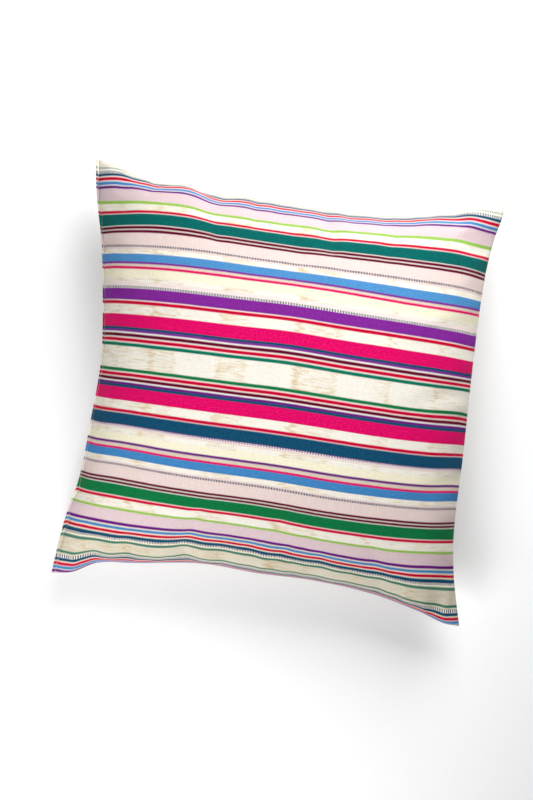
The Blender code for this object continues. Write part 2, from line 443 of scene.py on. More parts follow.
# The striped front panel. It is one piece of warp-faced cotton in plain, ticked and ikat stripes,
# turned under at the seams. Along the left a lip is pressed and topstitched 5 mm from the seam.
PANEL_THICKNESS = 0.0009
TURN_DROP = (0.0009, 0.0017)
TURN_IN = (0.0, 0.0011)


def rim_ids(ids):
    """The ids around a grid's border, in one loop against the clock seen from above."""
    return np.concatenate((ids[:-1, 0], ids[-1, :-1], ids[:0:-1, -1], ids[0, :0:-1]))


def rim_inward(shape):
    """For each place of that loop, the direction into the panel."""
    inward = np.zeros(shape + (3,))
    inward[0, :, 0] += 1
    inward[-1, :, 0] -= 1
    inward[:, 0, 1] += 1
    inward[:, -1, 1] -= 1
    flat = inward.reshape(-1, 3)
    return flat[rim_ids(np.arange(len(flat)).reshape(shape))]


def loop_faces(first, second):
    """Quads between two loops of ids, facing outward where second lies under first."""
    return np.stack((first, second, np.roll(second, -1), np.roll(first, -1)), axis=1)


# The front was cut a little askew, so its stripes run off the top and bottom seams to the right
TOP_SKEW = 0.0092
BOTTOM_SKEW = 0.0043
BOTTOM_BOW = 0.0038
MIDDLE_SKEW = 0.0026
MIDDLE_BOW = -0.0021


def stripe_skew(across, down):
    """How far the stripes lie below the place that a square cut would give them."""
    bow = 4 * across * (1 - across)
    middle = 4 * down * (1 - down)
    return (
        (1 - down) * TOP_SKEW * across
        + down * (BOTTOM_SKEW * across + BOTTOM_BOW * bow)
        + middle * (MIDDLE_SKEW * across + MIDDLE_BOW * bow)
    )


# Here and there the filling has also pushed the stripes a little up the panel, or down it
Drift = namedtuple("Drift", "along down half_width half_height rise")
DRIFTS = (
    Drift(0.480, 0.025, 0.070, 0.030, 0.0030), Drift(0.500, 0.075, 0.045, 0.050, 0.0013),
    Drift(0.440, 0.145, 0.080, 0.022, -0.0034), Drift(0.520, 0.265, 0.045, 0.022, 0.0029),
    Drift(0.120, 0.080, 0.080, 0.024, 0.0040), Drift(0.160, 0.125, 0.060, 0.030, 0.0012),
    Drift(0.280, 0.210, 0.050, 0.070, 0.0022), Drift(0.350, 0.440, 0.060, 0.070, -0.0026),
    Drift(0.430, 0.500, 0.060, 0.060, -0.0036), Drift(0.220, 0.490, 0.060, 0.035, 0.0040),
    Drift(0.090, 0.400, 0.060, 0.060, 0.0024), Drift(0.530, 0.360, 0.040, 0.060, 0.0027),
    Drift(0.410, 0.300, 0.080, 0.170, -0.0012), Drift(0.030, 0.370, 0.030, 0.080, -0.0012),
)


def stripe_drift(along, down):
    rise = 0.0
    for drift in DRIFTS:
        wide, high = (along - drift.along) / drift.half_width, (down - drift.down) / drift.half_height
        rise = rise + drift.rise * np.exp(-(wide**2) - high**2)
    return rise


def cloth_lengths(base):
    """How far along and down the flat cloth each place of a panel lies, in metres."""
    across_steps = np.linalg.norm(np.diff(base, axis=0), axis=-1)
    along = np.concatenate((np.zeros((1, base.shape[1])), np.cumsum(across_steps, axis=0)))
    up_steps = np.linalg.norm(np.diff(base, axis=1), axis=-1)
    height = np.concatenate((np.zeros((base.shape[0], 1)), np.cumsum(up_steps, axis=1)), axis=1)
    return np.stack((along / along[-1:] * CUT_SIZE, (1 - height / height[:, -1:]) * CUT_SIZE), axis=-1)


def make_piece(name, points, faces, lengths, material):
    """A mesh whose cloth map holds the lengths along and down the cloth, as shares of the cut."""
    mesh = new_mesh(name, points.tolist(), faces.tolist())
    corner_ids = np.empty(len(mesh.loops), dtype=int)
    mesh.loops.foreach_get("vertex_index", corner_ids)
    layer = mesh.uv_layers.new(name="cloth")
    layer.data.foreach_set("uv", (lengths[corner_ids] / CUT_SIZE).ravel())
    mesh.shade_smooth()
    mesh.materials.append(material)
    return placed(name, mesh)


def finished_mesh(obj):
    """Puts the result of a piece's modifiers into its mesh."""
    graph = bpy.context.evaluated_depsgraph_get()
    mesh = bpy.data.meshes.new_from_object(obj.evaluated_get(graph))
    obj.modifiers.clear()
    obj.data = mesh


def feed(tree, socket, value):
    if isinstance(value, bpy.types.NodeSocket):
        tree.links.new(value, socket)
    else:
        socket.default_value = value


def calc(tree, operation, *values, clamp=False):
    node = tree.nodes.new("ShaderNodeMath")
    node.operation = operation
    node.use_clamp = clamp
    for socket, value in zip(node.inputs, values):
        feed(tree, socket, value)
    return node.outputs[0]


def mix_colours(tree, kind, amount, first, second):
    node = tree.nodes.new("ShaderNodeMix")
    node.data_type = "RGBA"
    node.blend_type = kind
    for name, value in (("Factor_Float", amount), ("A_Color", first), ("B_Color", second)):
        feed(tree, next(s for s in node.inputs if s.identifier == name), value)
    return next(s for s in node.outputs if s.identifier == "Result_Color")


def place_vector(tree, x, y, z=0.0):
    node = tree.nodes.new("ShaderNodeCombineXYZ")
    for socket, value in zip(node.inputs, (x, y, z)):
        feed(tree, socket, value)
    return node.outputs[0]


def noise_value(tree, vector, detail=2.0, roughness=0.5):
    node = tree.nodes.new("ShaderNodeTexNoise")
    node.inputs["Scale"].default_value = 1.0
    node.inputs["Detail"].default_value = detail
    node.inputs["Roughness"].default_value = roughness
    feed(tree, node.inputs["Vector"], vector)
    return node.outputs["Fac"]


def random_value(tree, vector):
    node = tree.nodes.new("ShaderNodeTexWhiteNoise")
    node.noise_dimensions = "2D"
    feed(tree, node.inputs["Vector"], vector)
    return node.outputs["Value"]


def soft_step(tree, value, low, high):
    node = tree.nodes.new("ShaderNodeMapRange")
    node.interpolation_type = "SMOOTHSTEP"
    feed(tree, node.inputs["Value"], value)
    node.inputs["From Min"].default_value = low
    node.inputs["From Max"].default_value = high
    return node.outputs["Result"]


def spread(tree, value, low, high):
    """A value from 0 to 1 laid out from low to high."""
    return calc(tree, "ADD", calc(tree, "MULTIPLY", value, high - low), low)


def new_group(name, inputs, outputs):
    """A shader node group, with its inner input sockets and output sockets by name."""
    tree = bpy.data.node_groups.new(name, "ShaderNodeTree")
    for label, kind in inputs.items():
        tree.interface.new_socket(label, in_out="INPUT", socket_type="NodeSocket" + kind)
    for label, kind in outputs.items():
        tree.interface.new_socket(label, in_out="OUTPUT", socket_type="NodeSocket" + kind)
    way_in = tree.nodes.new("NodeGroupInput")
    way_out = tree.nodes.new("NodeGroupOutput")
    return tree, way_in.outputs, way_out.inputs


def use_group(tree, group, **values):
    node = tree.nodes.new("ShaderNodeGroup")
    node.node_tree = group
    for label, value in values.items():
        feed(tree, node.inputs[label.replace("_", " ")], value)
    return node.outputs


def colour(code):
    """A colour written as rrggbb, as the linear values that a shader takes."""
    shares = [int(code[i:i + 2], 16) / 255 for i in (0, 2, 4)]
    return tuple(s / 12.92 if s <= 0.04045 else ((s + 0.055) / 1.055) ** 2.4 for s in shares) + (1.0,)


# The yarns' dyes, and the undyed cottons between them
DYES = {
    "cream": colour("EEEAE0"),
    "natural": colour("E6DCC6"),
    "ecru": colour("D6C8B9"),
    "red": colour("C60138"),
    "magenta": colour("DA0463"),
    "navy": colour("0D4868"),
    "ink": colour("00254A"),
    "teal": colour("035F5C"),
    "jade": colour("006F56"),
    "green": colour("0A723F"),
    "maroon": colour("62012C"),
    "plum": colour("68147C"),
    "purple": colour("7C2592"),
    "blue": colour("3F82BD"),
    "sky": colour("4C8CC5"),
    "lilac": colour("DBC5CA"),
    "pink": colour("E3D0CC"),
    "blush": colour("EBDDD9"),
    "oat": colour("D6CFBD"),
    "yellow": colour("EFE9D0"),
    "lime": colour("94C053"),
    "sage": colour("447B65"),
}

# Each stripe starts at a distance down the cloth, in millimetres, and ends where the next starts.
# Ticked stripes show their ground between the ticks.
CUT_MILLIMETRES = CUT_SIZE * 1000
Stripe = namedtuple("Stripe", "start dye kind", defaults=("",))
STRIPES = (
    Stripe(0.0, "cream", "ikat"), Stripe(10.0, "sage", "ticks"), Stripe(14.0, "cream"),
    Stripe(16.0, "ink", "ticks"), Stripe(19.5, "navy"), Stripe(23.5, "cream"), Stripe(25.0, "red"),
    Stripe(29.5, "cream"), Stripe(31.0, "blue"), Stripe(35.0, "cream"), Stripe(36.2, "plum"),
    Stripe(39.7, "lilac"), Stripe(55.9, "lime"), Stripe(60.2, "cream", "ikat"), Stripe(69.6, "red"),
    Stripe(73.6, "cream"), Stripe(74.7, "teal"), Stripe(89.8, "cream"), Stripe(91.0, "maroon"),
    Stripe(94.8, "cream"), Stripe(96.0, "maroon"), Stripe(99.6, "pink"), Stripe(114.6, "ink", "pink ticks"),
    Stripe(117.8, "pink"), Stripe(120.0, "cream", "ikat"), Stripe(126.2, "sky"), Stripe(136.2, "purple"),
    Stripe(139.1, "ecru"), Stripe(142.3, "magenta"), Stripe(145.9, "yellow"),
    Stripe(157.0, "cream", "ikat"), Stripe(162.5, "blush"), Stripe(167.8, "ink", "ticks"),
    Stripe(170.9, "purple"), Stripe(185.6, "cream"), Stripe(187.0, "red"), Stripe(191.5, "cream", "ikat"),
    Stripe(204.5, "magenta"), Stripe(220.6, "navy"), Stripe(224.2, "purple"), Stripe(227.0, "cream"),
    Stripe(229.0, "maroon"), Stripe(233.3, "cream"), Stripe(234.9, "red"), Stripe(239.4, "cream"),
    Stripe(240.9, "jade"), Stripe(245.6, "cream", "ikat"), Stripe(273.5, "green"), Stripe(278.0, "cream"),
    Stripe(279.5, "red"), Stripe(284.1, "cream"), Stripe(285.3, "maroon"), Stripe(289.6, "cream"),
    Stripe(291.2, "plum"), Stripe(294.6, "navy"), Stripe(298.2, "magenta"), Stripe(314.7, "cream", "ikat"),
    Stripe(326.1, "red"), Stripe(330.4, "cream"), Stripe(331.4, "navy"), Stripe(346.0, "plum", "ticks"),
    Stripe(349.3, "pink"), Stripe(351.5, "cream", "ikat"), Stripe(358.0, "yellow"), Stripe(368.0, "plum"),
    Stripe(371.4, "ecru"), Stripe(375.7, "magenta"), Stripe(378.8, "blue"), Stripe(389.2, "cream", "ikat"),
    Stripe(395.5, "pink"), Stripe(398.0, "ink", "pink ticks"), Stripe(401.0, "pink"),
    Stripe(415.7, "maroon"), Stripe(419.1, "cream"), Stripe(420.1, "maroon"), Stripe(423.5, "cream"),
    Stripe(424.5, "green"), Stripe(438.4, "cream"), Stripe(439.5, "red"), Stripe(443.6, "cream", "ikat"),
    Stripe(454.4, "lime"), Stripe(458.0, "lilac"), Stripe(473.7, "plum"), Stripe(478.1, "natural"),
    Stripe(480.0, "blue"), Stripe(484.0, "natural"), Stripe(485.9, "red"), Stripe(490.1, "natural"),
    Stripe(492.0, "navy"), Stripe(496.5, "ink", "ticks"), Stripe(500.9, "natural"), Stripe(502.6, "sage"),
    Stripe(507.0, "oat", "ikat"), Stripe(525.6, "sage"), Stripe(529.5, "natural"),
    Stripe(531.6, "ink", "ticks"), Stripe(536.0, "navy"), Stripe(540.5, "natural"), Stripe(542.1, "red"),
    Stripe(546.4, "natural"), Stripe(547.3, "blue"), Stripe(551.4, "natural"), Stripe(552.7, "plum"),
    Stripe(556.9, "lilac"),
)
# Red marks ikat, green marks ticks and blue marks ticks on a pink ground
STRIPE_MARKS = {
    "": (0.0, 0.0, 0.0, 1.0), "ikat": (1.0, 0.0, 0.0, 1.0),
    "ticks": (0.0, 1.0, 0.0, 1.0), "pink ticks": (0.0, 1.0, 1.0, 1.0),
}
BLOCK = 56.0


def stripe_blocks(tree, down, value_of):
    """The value of the stripe that a place lies in, from one short ramp for each block of cloth."""
    result = None
    for number in range(math.ceil(CUT_MILLIMETRES / BLOCK)):
        start = number * BLOCK
        inside = [s for s in STRIPES if start < s.start < start + BLOCK]
        first = [s for s in STRIPES if s.start <= start][-1]
        node = tree.nodes.new("ShaderNodeValToRGB")
        ramp = node.color_ramp
        ramp.interpolation = "CONSTANT"
        ramp.elements.remove(ramp.elements[1])
        ramp.elements[0].position = 0
        ramp.elements[0].color = value_of(first)
        for stripe in inside:
            ramp.elements.new((stripe.start - start) / BLOCK).color = value_of(stripe)
        share = calc(tree, "DIVIDE", calc(tree, "SUBTRACT", down, start), BLOCK)
        feed(tree, node.inputs["Fac"], share)
        here = node.outputs["Color"]
        if result is None:
            result = here
        else:
            past = calc(tree, "GREATER_THAN", down, start)
            result = mix_colours(tree, "MIX", past, result, here)
    return result


stripe_chart, chart_in, chart_out = new_group(
    "stripe_chart", {"Down": "Float"},
    {"Dye": "Color", "Ikat": "Float", "Ticks": "Float", "Pink Ground": "Float"},
)
feed(stripe_chart, chart_out["Dye"],
     stripe_blocks(stripe_chart, chart_in["Down"], lambda stripe: DYES[stripe.dye]))
marks = stripe_chart.nodes.new("ShaderNodeSeparateColor")
feed(stripe_chart, marks.inputs["Color"],
     stripe_blocks(stripe_chart, chart_in["Down"], lambda stripe: STRIPE_MARKS[stripe.kind]))
for label, socket in zip(("Ikat", "Ticks", "Pink Ground"), marks.outputs):
    feed(stripe_chart, chart_out[label], socket)

# The weft bites into every edge between two stripes, further where a stripe is only a few yarns wide
NARROW = 5.0
NARROW_TEETH = 1.0
WIDE_TEETH = 0.5


def tooth_size(stripe):
    ends = [s.start for s in STRIPES] + [CUT_MILLIMETRES]
    narrow = ends[STRIPES.index(stripe) + 1] - stripe.start < NARROW
    return (NARROW_TEETH if narrow else WIDE_TEETH,) * 3 + (1.0,)


edge_teeth, teeth_in, teeth_out = new_group("edge_teeth", {"Down": "Float"}, {"Size": "Float"})
feed(edge_teeth, teeth_out["Size"], stripe_blocks(edge_teeth, teeth_in["Down"], tooth_size))

# Ikat: before weaving, the cream warp was bound in blocks and dipped in a thin tan dye. The bound
# parts stayed white, with feathered ends, because each bundle of yarns slipped a little on the loom.
TAN_DIP = colour("E8D6B6")
TAN_START = 0.30
TAN_FULL = 1.25
FEATHERING = 2.2
DASH_LENGTH = 24.0
BUNDLE = 1.7
BUNDLE_SLIP = 4.0
SLIP_ROW, FEATHER_ROW = 3.7, 1.37
OVAL_HALF = 15.0
OVAL_POWER = 3.0
OVAL_CUT = 5.0
WIDE_BAND = 260.0

Dip = namedtuple("Dip", "along tan")
DIPS = (
    Dip(0, 0.55), Dip(44, 0.55), Dip(49, 0.80), Dip(54, 0.50), Dip(100, 0.55), Dip(104, 0.95),
    Dip(107, 0.95), Dip(110, 0.58), Dip(133, 0.60), Dip(137, 0.80), Dip(142, 0.20), Dip(190, 0.20),
    Dip(195, 0.85), Dip(199, 0.62), Dip(224, 0.60), Dip(228, 0.80), Dip(233, 0.18), Dip(262, 0.32),
    Dip(284, 0.22), Dip(290, 1.00), Dip(294, 1.00), Dip(297, 0.60), Dip(336, 0.58), Dip(341, 0.75),
    Dip(346, 0.20), Dip(398, 0.28), Dip(409, 0.80), Dip(414, 0.24), Dip(470, 0.30), Dip(477, 0.80),
    Dip(482, 0.50), Dip(520, 0.40),
)

ikat_flecks, fleck_in, fleck_out = new_group(
    "ikat_flecks", {"Along": "Float", "Down": "Float"}, {"Tan": "Float"},
)
tree = ikat_flecks
bundle = calc(tree, "FLOOR", calc(tree, "DIVIDE", fleck_in["Down"], BUNDLE))
slip = calc(tree, "SUBTRACT", random_value(tree, place_vector(tree, bundle, SLIP_ROW)), 0.5)
from_middle = calc(tree, "DIVIDE", calc(tree, "SUBTRACT", fleck_in["Down"], WIDE_BAND), OVAL_HALF)
oval = calc(tree, "MINIMUM", calc(tree, "POWER", calc(tree, "ABSOLUTE", from_middle), OVAL_POWER), 1.0)
slip_length = calc(tree, "ADD", calc(tree, "MULTIPLY", oval, OVAL_CUT), BUNDLE_SLIP)
slipped = calc(tree, "ADD", fleck_in["Along"], calc(tree, "MULTIPLY", slip, slip_length))
dips = tree.nodes.new("ShaderNodeValToRGB")
dips.color_ramp.elements.remove(dips.color_ramp.elements[1])
for number, dip in enumerate(DIPS):
    share = dip.along / CUT_MILLIMETRES
    element = dips.color_ramp.elements.new(share) if number else dips.color_ramp.elements[0]
    element.position = share
    element.color = (dip.tan, dip.tan, dip.tan, 1.0)
feed(tree, dips.inputs["Fac"], calc(tree, "DIVIDE", slipped, CUT_MILLIMETRES))
feather = noise_value(tree, place_vector(
    tree, calc(tree, "DIVIDE", slipped, DASH_LENGTH), calc(tree, "MULTIPLY", bundle, FEATHER_ROW)),
    detail=2.0, roughness=0.6)
feathered = calc(tree, "MULTIPLY", calc(tree, "SUBTRACT", feather, 0.5), FEATHERING)
taken = calc(tree, "ADD", dips.outputs["Color"], feathered)
feed(tree, fleck_out["Tan"], soft_step(tree, taken, TAN_START, TAN_FULL))

# Cloth grain: fine warp yarns that lie side by side down the cloth and rise over each thick weft,
# so that ribs run down the panel. The grain's shade is painted shade in the hollows between the ribs,
# times the dye's uneven take: dye took unevenly, in streaks, over whole picks and in specks.
Patches = namedtuple("Patches", "along down layer detail roughness")
STREAKS = Patches(34.0, 2.4, 0.0, 2.0, 0.6)
PICKS = Patches(1.9, 16.0, 5.0, 1.0, 0.5)
SPECKS = Patches(1.7, 1.5, 9.0, 1.0, 0.5)
STREAK_DEPTH, PICK_DEPTH, SPECK_DEPTH = 0.08, 0.13, 0.50
BARE_WEFT = (0.50, 0.80)
YARN_SLIP = 0.25
LUMP_LENGTH = 9.0
YARN_ROW, LUMP_ROW = 1.3, 1.9
RIB_RISE, YARN_RISE, LUMP_RISE = 0.62, 0.28, 0.35
PAINTED_RIB_SHADE = (0.93, 1.02)


def patchiness(tree, along, down, patches):
    """Soft random patches over the cloth, from 0 to 1, of one length and width in millimetres."""
    return noise_value(tree, place_vector(
        tree, calc(tree, "DIVIDE", along, patches.along), calc(tree, "DIVIDE", down, patches.down),
        patches.layer), patches.detail, patches.roughness)


cloth_grain, grain_in, grain_out = new_group(
    "cloth_grain",
    {"Along": "Float", "Down": "Float", "Rib": "Float", "Yarn": "Float"},
    {"Height": "Float", "Shade": "Float", "Weft": "Float"},
)
tree = cloth_grain
yarn_place = calc(tree, "DIVIDE", grain_in["Down"], grain_in["Yarn"])
yarn_number = calc(tree, "FLOOR", yarn_place)
yarn_slip = calc(tree, "MULTIPLY", random_value(
    tree, place_vector(tree, yarn_number, YARN_ROW)), YARN_SLIP)
rib_place = calc(tree, "ADD", calc(tree, "DIVIDE", grain_in["Along"], grain_in["Rib"]), yarn_slip)
rib_wave, yarn_wave = (
    calc(tree, "ABSOLUTE", calc(tree, "SINE", calc(tree, "MULTIPLY", wave_place, math.pi)))
    for wave_place in (rib_place, yarn_place)
)
lump = noise_value(tree, place_vector(
    tree, calc(tree, "DIVIDE", grain_in["Along"], LUMP_LENGTH),
    calc(tree, "MULTIPLY", yarn_number, LUMP_ROW)))
height = calc(tree, "MULTIPLY", rib_wave, RIB_RISE)
for wave, rise in ((yarn_wave, YARN_RISE), (lump, LUMP_RISE)):
    height = calc(tree, "ADD", height, calc(tree, "MULTIPLY", wave, rise))
feed(tree, grain_out["Height"], height)
streaks, picks, specks = (
    patchiness(tree, grain_in["Along"], grain_in["Down"], patches) for patches in (STREAKS, PICKS, SPECKS))
# Painted shade: the colour is darkest in the hollows between the ribs. The patches after it are the dye's
# uneven take.
shade = spread(tree, rib_wave, *PAINTED_RIB_SHADE)
for noise, depth in ((streaks, STREAK_DEPTH), (picks, PICK_DEPTH), (specks, SPECK_DEPTH)):
    shade = calc(tree, "MULTIPLY", shade, spread(tree, noise, 1 - depth, 1 + depth))
feed(tree, grain_out["Shade"], shade)
feed(tree, grain_out["Weft"], soft_step(tree, specks, *BARE_WEFT))

# In a ticked stripe, dark and pale yarns come up by turns. The whole warp wanders a little
TICK_PITCH = 3.4
TICK_SHARE = 0.56
TICK_THINNING = 0.12
TICK_ROW = 2.0
WARP_WANDER = 0.9
WANDERINGS = Patches(70.0, 40.0, 0.0, 2.0, 0.5)
RIB_PITCH = 1.45
YARN_PITCH = 0.48
WEFT_SHOW = 0.025
DARK_GRAIN, PALE_GRAIN = 1.1, 0.3
FRONT_ROUGHNESS = (0.96, 0.82)
FRONT_RELIEF = 0.00022


def cloth_place(tree):
    """How far along and down the cloth a place lies, in millimetres."""
    node = tree.nodes.new("ShaderNodeUVMap")
    node.uv_map = "cloth"
    parts = tree.nodes.new("ShaderNodeSeparateXYZ")
    tree.links.new(node.outputs["UV"], parts.inputs[0])
    along = calc(tree, "MULTIPLY", parts.outputs["X"], CUT_MILLIMETRES)
    down = calc(tree, "MULTIPLY", parts.outputs["Y"], CUT_MILLIMETRES)
    return along, down


def new_material(name):
    material = bpy.data.materials.new(name)
    material.use_nodes = True
    return material, material.node_tree, material.node_tree.nodes["Principled BSDF"]


def add_bump(tree, shader, height, distance):
    bump = tree.nodes.new("ShaderNodeBump")
    bump.inputs["Distance"].default_value = distance
    bump.inputs["Strength"].default_value = 1.0
    feed(tree, bump.inputs["Height"], height)
    tree.links.new(bump.outputs["Normal"], shader.inputs["Normal"])


striped_cotton, tree, shader = new_material("striped_cotton")
along, down = cloth_place(tree)
tick_turn = calc(tree, "DIVIDE", along, TICK_PITCH)
tick_chance = random_value(tree, place_vector(tree, calc(tree, "FLOOR", tick_turn), TICK_ROW))
tick_half = spread(tree, tick_chance, TICK_SHARE / 2, (TICK_SHARE - TICK_THINNING) / 2)
tick = calc(tree, "LESS_THAN", calc(tree, "ABSOLUTE", calc(
    tree, "SUBTRACT", calc(tree, "FRACT", tick_turn), 0.5)), tick_half)
wander = calc(tree, "SUBTRACT", patchiness(tree, along, down, WANDERINGS), 0.5)
worn_down = calc(tree, "ADD", down, calc(tree, "MULTIPLY", wander, WARP_WANDER))
teeth = use_group(tree, edge_teeth, Down=worn_down)["Size"]
worn_down = calc(tree, "ADD", worn_down, calc(
    tree, "MULTIPLY", calc(tree, "SUBTRACT", tick, 0.5), teeth))
chart = use_group(tree, stripe_chart, Down=worn_down)
flecks = use_group(tree, ikat_flecks, Along=along, Down=worn_down)
grain = use_group(tree, cloth_grain, Along=along, Down=down, Rib=RIB_PITCH, Yarn=YARN_PITCH)
ground = mix_colours(tree, "MIX", chart["Pink Ground"], DYES["cream"], DYES["pink"])
gap = calc(tree, "MULTIPLY", chart["Ticks"], calc(tree, "SUBTRACT", 1.0, tick))
woven = mix_colours(tree, "MIX", gap, chart["Dye"], ground)
flecked = mix_colours(tree, "MULTIPLY", calc(tree, "MULTIPLY", chart["Ikat"], flecks["Tan"]),
                      woven, TAN_DIP)
paleness = tree.nodes.new("ShaderNodeRGBToBW")
feed(tree, paleness.inputs["Color"], woven)
# The grain's shade darkens the colour: painted shade between the ribs, and the dye's uneven take.
shaded = mix_colours(
    tree, "MULTIPLY", spread(tree, paleness.outputs["Val"], DARK_GRAIN, PALE_GRAIN), flecked,
    place_vector(tree, grain["Shade"], grain["Shade"], grain["Shade"]))
feed(tree, shader.inputs["Base Color"], mix_colours(
    tree, "MIX", calc(tree, "MULTIPLY", grain["Weft"], WEFT_SHOW), shaded, DYES["cream"]))
feed(tree, shader.inputs["Roughness"], spread(tree, grain["Height"], *FRONT_ROUGHNESS))
shader.inputs["Specular IOR Level"].default_value = 0.05
shader.inputs["Sheen Weight"].default_value = 0.015
shader.inputs["Sheen Roughness"].default_value = 0.5
add_bump(tree, shader, grain["Height"], FRONT_RELIEF)

panel_ids = np.arange(across_grid.size).reshape(across_grid.shape)
rim = rim_ids(panel_ids)
inward = rim_inward(across_grid.shape)
panel_lengths = cloth_lengths(front_base(across_grid, up_grid))
panel_lengths[..., 1] -= stripe_skew(across_grid, panel_lengths[..., 1] / CUT_SIZE)
panel_lengths[..., 1] += stripe_drift(panel_lengths[..., 0], panel_lengths[..., 1])
panel_lengths = panel_lengths.reshape(-1, 2)


def with_turned_rim(points, ids, lengths, drops, turns):
    """Adds loops of points around a panel's border, each dropped and turned in from it."""
    flat, faces = points.reshape(-1, 3), []
    border = rim_ids(ids)
    loop = border
    for drop, turn in zip(drops, turns):
        new_loop = len(flat) + np.arange(len(border))
        flat = np.concatenate((flat, flat[border] + inward * turn - UP * drop))
        out = -inward[:, :2] * (abs(drop) + turn) * (1, -1)
        lengths = np.concatenate((lengths, lengths[border] + out))
        faces.append(loop_faces(loop, new_loop) if drop > 0 else loop_faces(new_loop, loop))
        loop = new_loop
    return flat, lengths, faces, loop


points, lengths, turned, _ = with_turned_rim(
    front_points, panel_ids, panel_lengths, TURN_DROP, TURN_IN)
striped_front = make_piece(
    "striped_front", points, np.concatenate([panel_faces(panel_ids), *turned]), lengths, striped_cotton)
striped_front.modifiers.new("round", "SUBSURF").levels = 1
cloth_layer = striped_front.modifiers.new("thickness", "SOLIDIFY")
cloth_layer.thickness = PANEL_THICKNESS
cloth_layer.offset = -1
finished_mesh(striped_front)
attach(striped_front, "root")
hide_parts("front_panel")


# The cushion behind the striped cloth: the filling in its cover, with a back of plain off-white
# cotton. The back is sewn to the front all round and turned up at the seam.
BACK_TURN_RISE = (-0.0008, -0.0014)
BACK_TURN_IN = (0.0, 0.0011)
BODY_GAP = 0.0004
BODY_RIM_IN = 0.0022
BODY_RIM_DROP = 0.0020
BACK_RIB = 0.9
BACK_YARN = 0.8
BACK_CLOUDS = Patches(60.0, 60.0, 0.0, 3.0, 0.5)
BACK_PALE, BACK_DEEP = colour("DFD9CF"), colour("D9D1C4")
BACK_GRAIN = 0.6
BACK_ROUGHNESS = (0.96, 0.84)
BACK_RELIEF = 0.00018

plain_cotton, tree, shader = new_material("plain_cotton")
along, down = cloth_place(tree)
grain = use_group(tree, cloth_grain, Along=along, Down=down, Rib=BACK_RIB, Yarn=BACK_YARN)
base = mix_colours(tree, "MIX", patchiness(tree, along, down, BACK_CLOUDS), BACK_PALE, BACK_DEEP)
# The grain's shade darkens the colour: painted shade between the ribs, and the dye's uneven take.
shaded = mix_colours(tree, "MULTIPLY", BACK_GRAIN, base, place_vector(
    tree, grain["Shade"], grain["Shade"], grain["Shade"]))
feed(tree, shader.inputs["Base Color"], shaded)
feed(tree, shader.inputs["Roughness"], spread(tree, grain["Height"], *BACK_ROUGHNESS))
shader.inputs["Specular IOR Level"].default_value = 0.1
shader.inputs["Sheen Weight"].default_value = 0.03
shader.inputs["Sheen Roughness"].default_value = 0.5
add_bump(tree, shader, grain["Height"], BACK_RELIEF)

hidden = front_points - grid_normals(front_points) * (PANEL_THICKNESS + BODY_GAP)
hidden_flat = hidden.reshape(-1, 3)
hidden_flat[rim] = front_points.reshape(-1, 3)[rim] + inward * BODY_RIM_IN - UP * BODY_RIM_DROP
back_lengths = cloth_lengths(back_base(across_grid, up_grid)).reshape(-1, 2)
points, lengths, turned, last_loop = with_turned_rim(
    back_points, panel_ids, back_lengths, BACK_TURN_RISE, BACK_TURN_IN)
hidden_ids = panel_ids + len(points)
faces = np.concatenate([
    panel_faces(panel_ids, up_facing=False), *turned,
    panel_faces(hidden_ids), loop_faces(rim_ids(hidden_ids), last_loop),
])
filled_cover = make_piece(
    "filled_cover", np.concatenate((points, hidden_flat)), faces,
    np.concatenate((lengths, panel_lengths)), plain_cotton)
filled_cover.modifiers.new("round", "SUBSURF").levels = 1
finished_mesh(filled_cover)
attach(filled_cover, "root")
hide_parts("cushion")


# The topstitching on the left lip: one row of short pale stitches, sunk in the groove that they
# press, with each stitch diving into the cloth at both ends.
THREAD_RADIUS = 0.00026
STITCH_LENGTH = 0.0028
STITCH_PITCH = 0.0034
STITCH_SINK = 0.00045
STITCH_SIDES = 6
STITCH_RINGS = 7
STITCH_LIFT = 0.7
STITCH_ENDS = 0.5
TOP_PROBE = (0, 0, -1)
PROBE_START = 0.02
TWIST = 9000.0
TWIST_SLANT = 0.6
TWIST_SHADE = (0.5, 1.0)
THREAD_ROUGHNESS = (0.8, 0.65)
THREAD_RELIEF = 0.0001
# The pale thread's colour on the plies' crowns, after a darker copy of it that is painted shade in the
# grooves of the twist.
PALE_THREAD_SHADED_AND_LIT = (colour("B9AE9C"), colour("EDE4D4"))


def surface_tree(obj):
    mesh = obj.data
    mesh.calc_loop_triangles()
    corners = [tuple(triangle.vertices) for triangle in mesh.loop_triangles]
    return BVHTree.FromPolygons([vertex.co[:] for vertex in mesh.vertices], corners)


def path_lengths(path):
    return np.concatenate(((0,), np.cumsum(np.linalg.norm(np.diff(path, axis=0), axis=1))))


def tube_rings(centres, normals):
    """Rings of points around a stitch's path, square to it, drawn in at both ends."""
    ways = np.gradient(centres, axis=0)
    ways /= np.linalg.norm(ways, axis=1, keepdims=True)
    across = np.cross(ways, normals)
    across /= np.linalg.norm(across, axis=1, keepdims=True)
    upright = np.cross(across, ways)
    angles = np.arange(STITCH_SIDES) * 2 * np.pi / STITCH_SIDES
    widths = np.full(len(centres), THREAD_RADIUS)
    widths[[0, -1]] *= STITCH_ENDS
    ring = across[:, None] * np.cos(angles)[:, None] + upright[:, None] * np.sin(angles)[:, None]
    return centres[:, None] + ring * widths[:, None, None]


def tube_faces(first):
    ids = first + np.arange(STITCH_RINGS * STITCH_SIDES).reshape(STITCH_RINGS, STITCH_SIDES)
    turned = np.roll(ids, -1, axis=1)
    walls = np.stack((ids[:-1], turned[:-1], turned[1:], ids[1:]), axis=-1).reshape(-1, 4)
    return [*walls.tolist(), ids[0, ::-1].tolist(), ids[-1].tolist()]


